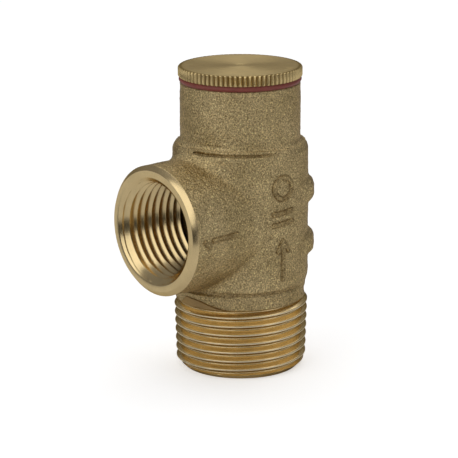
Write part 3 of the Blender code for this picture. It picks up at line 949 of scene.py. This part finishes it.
def build_world():
    """An even studio, darker in the opening where the camera stands."""
    world = bpy.data.worlds.new("studio")
    world.use_nodes = True
    tree = world.node_tree
    background = tree.nodes["Background"]
    coordinates = tree.nodes.new("ShaderNodeTexCoord")
    towards = node(tree, "ShaderNodeVectorMath", operation="DOT_PRODUCT")
    towards.inputs[1].default_value = (TO_CAMERA + Vector((0, 0, 0.10))).normalized()
    tree.links.new(coordinates.outputs["Generated"], towards.inputs[0])
    colour = ramp(tree, towards.outputs["Value"], [
        (0.0, (0.22, 0.22, 0.23)),
        (0.45, (0.29, 0.29, 0.29)),
        (0.86, (0.18, 0.18, 0.18)),
        (1.0, (0.14, 0.14, 0.14)),
    ])
    tree.links.new(colour, background.inputs["Color"])
    background.inputs["Strength"].default_value = 1.0
    bpy.context.scene.world = world


def area_light(name, azimuth, elevation, distance, size, radiance):
    """A softbox, its direction given in degrees from the camera's side, to the right and up."""
    a, e = math.radians(azimuth), math.radians(elevation)
    level = TO_CAMERA * math.cos(a) + VIEW_RIGHT * math.sin(a)
    away = level * math.cos(e) + Vector((0, 0, math.sin(e)))
    middle = Vector((AXIS_X, 0, 30 * MM))  # of the valve
    data = bpy.data.lights.new(name, "AREA")
    data.shape = "RECTANGLE"
    data.size, data.size_y = size
    data.energy = radiance * math.pi * size[0] * size[1]
    obj = bpy.data.objects.new(name, data)
    obj.location = middle + away * distance
    obj.rotation_euler = away.to_track_quat("Z", "Y").to_euler()
    bpy.context.scene.collection.objects.link(obj)


def reflection_flag():
    """A low dark card to the left of the camera, which only reflections see."""
    distance, low, high = 120 * MM, 4 * MM, 36 * MM
    points = []
    for azimuth in np.radians(np.linspace(-80, -14, 12)):
        way = (TO_CAMERA * math.cos(azimuth) + VIEW_RIGHT * math.sin(azimuth)) * distance
        points += [(AXIS_X + way.x, way.y, low), (AXIS_X + way.x, way.y, high)]
    faces = [(2 * i, 2 * i + 2, 2 * i + 3, 2 * i + 1) for i in range(len(points) // 2 - 1)]
    card = mesh_object("reflection_card", points, faces)
    material, _, _ = new_material("black_card", (0.03, 0.028, 0.025), 0.9, 0.0)
    card.data.materials.append(material)
    for kind in ("camera", "diffuse", "shadow", "transmission", "volume_scatter"):
        setattr(card, f"visible_{kind}", False)


def build_lights():
    area_light("overhead_softbox", 180, 74, 0.8, (1.25, 1.1), 0.9)
    area_light("left_softbox", -42, 26, 0.8, (0.72, 0.62), 1.05)
    area_light("right_softbox", 58, 30, 0.8, (0.35, 0.5), 0.86)
    reflection_flag()


def build_camera():
    distance, height = 437.87 * MM, 144.09 * MM
    focal_share = 2250 / 458  # focal length in picture widths, for a picture of 458 by 458
    pitch, yaw, roll = math.radians(14.873), math.radians(0.304), math.radians(0.22)
    data = bpy.data.cameras.new("camera")
    data.sensor_width = 36
    data.lens = focal_share * 36
    data.clip_start, data.clip_end = 0.01, 20
    camera = bpy.data.objects.new("camera", data)
    camera.location = Vector((AXIS_X, 0, 0)) + TO_CAMERA * distance + Vector((0, 0, height))
    aim = Matrix.Rotation(VIEW_AZIMUTH + yaw, 4, "Z") @ Matrix.Rotation(math.pi / 2 - pitch, 4, "X")
    camera.rotation_euler = (aim @ Matrix.Rotation(-roll, 4, "Z")).to_euler()
    bpy.context.scene.collection.objects.link(camera)
    bpy.context.scene.camera = camera


def brass_materials():
    """Every machined surface: its name, axis, colour, roughness, line scale and line depth."""
    return {
        "inlet": turned_brass(
            "threaded_brass", "Z", (0.87, 0.67, 0.355), 0.24, 9000, 0.002, edge=(0.28, 0.22, 0.15)
        ),
        # A paler brass on the crest tips, a painted highlight line.
        "crest": turned_brass(
            "crest_painted_highlight", "Z", (0.92, 0.80, 0.56), 0.42, 9000, 0.002, edge=(0.5, 0.42, 0.29)
        ),
        "skimmed": turned_brass("skimmed_brass", "Z", (0.42, 0.28, 0.125), 0.42, 4000, 0.016),
        "outlet": turned_brass("bored_brass", "X", (0.74, 0.57, 0.30), 0.20, 7000, 0.0015),
        "cap": turned_brass("faced_brass", "Z", (0.86, 0.68, 0.355), 0.34, 8000, 0.005, 0.5),
        # A darker copy of the cap's brass, painted shade on the knurl.
        "knurl": turned_brass(
            "knurled_brass_painted_shade", "Z", (0.72, 0.55, 0.26), 0.28, 6000, 0.003, edge=(0.30, 0.24, 0.15)
        ),
        # A still darker copy, painted shade in the knurl's grooves.
        "groove": turned_brass(
            "knurl_groove_painted_shade", "Z", (0.41, 0.29, 0.125), 0.35, 6000, 0.003, edge=(0.20, 0.15, 0.09)
        ),
        "tick": turned_brass("tick_brass", "Z", (0.92, 0.80, 0.50), 0.3),
        "turned": turned_brass("inner_brass", "Z", (0.78, 0.61, 0.31)),
    }


def main():
    materials = {
        **brass_materials(),
        "cast": cast_brass(),
        "steel": steel(),
        "red": soft_solid("red_fibre", (0.25, 0.055, 0.038), 0.5),
        "black": soft_solid("black_rubber", (0.03, 0.03, 0.03), 0.6, 0.3),
        "plastic": soft_solid("bearing_plastic", (0.72, 0.71, 0.67), 0.45, 0.06),
    }
    build_body(materials)
    build_cap(materials)
    build_inside(materials)
    build_stage()
    build_world()
    build_lights()
    build_camera()
    bpy.context.scene.view_settings.view_transform = "Standard"


main()
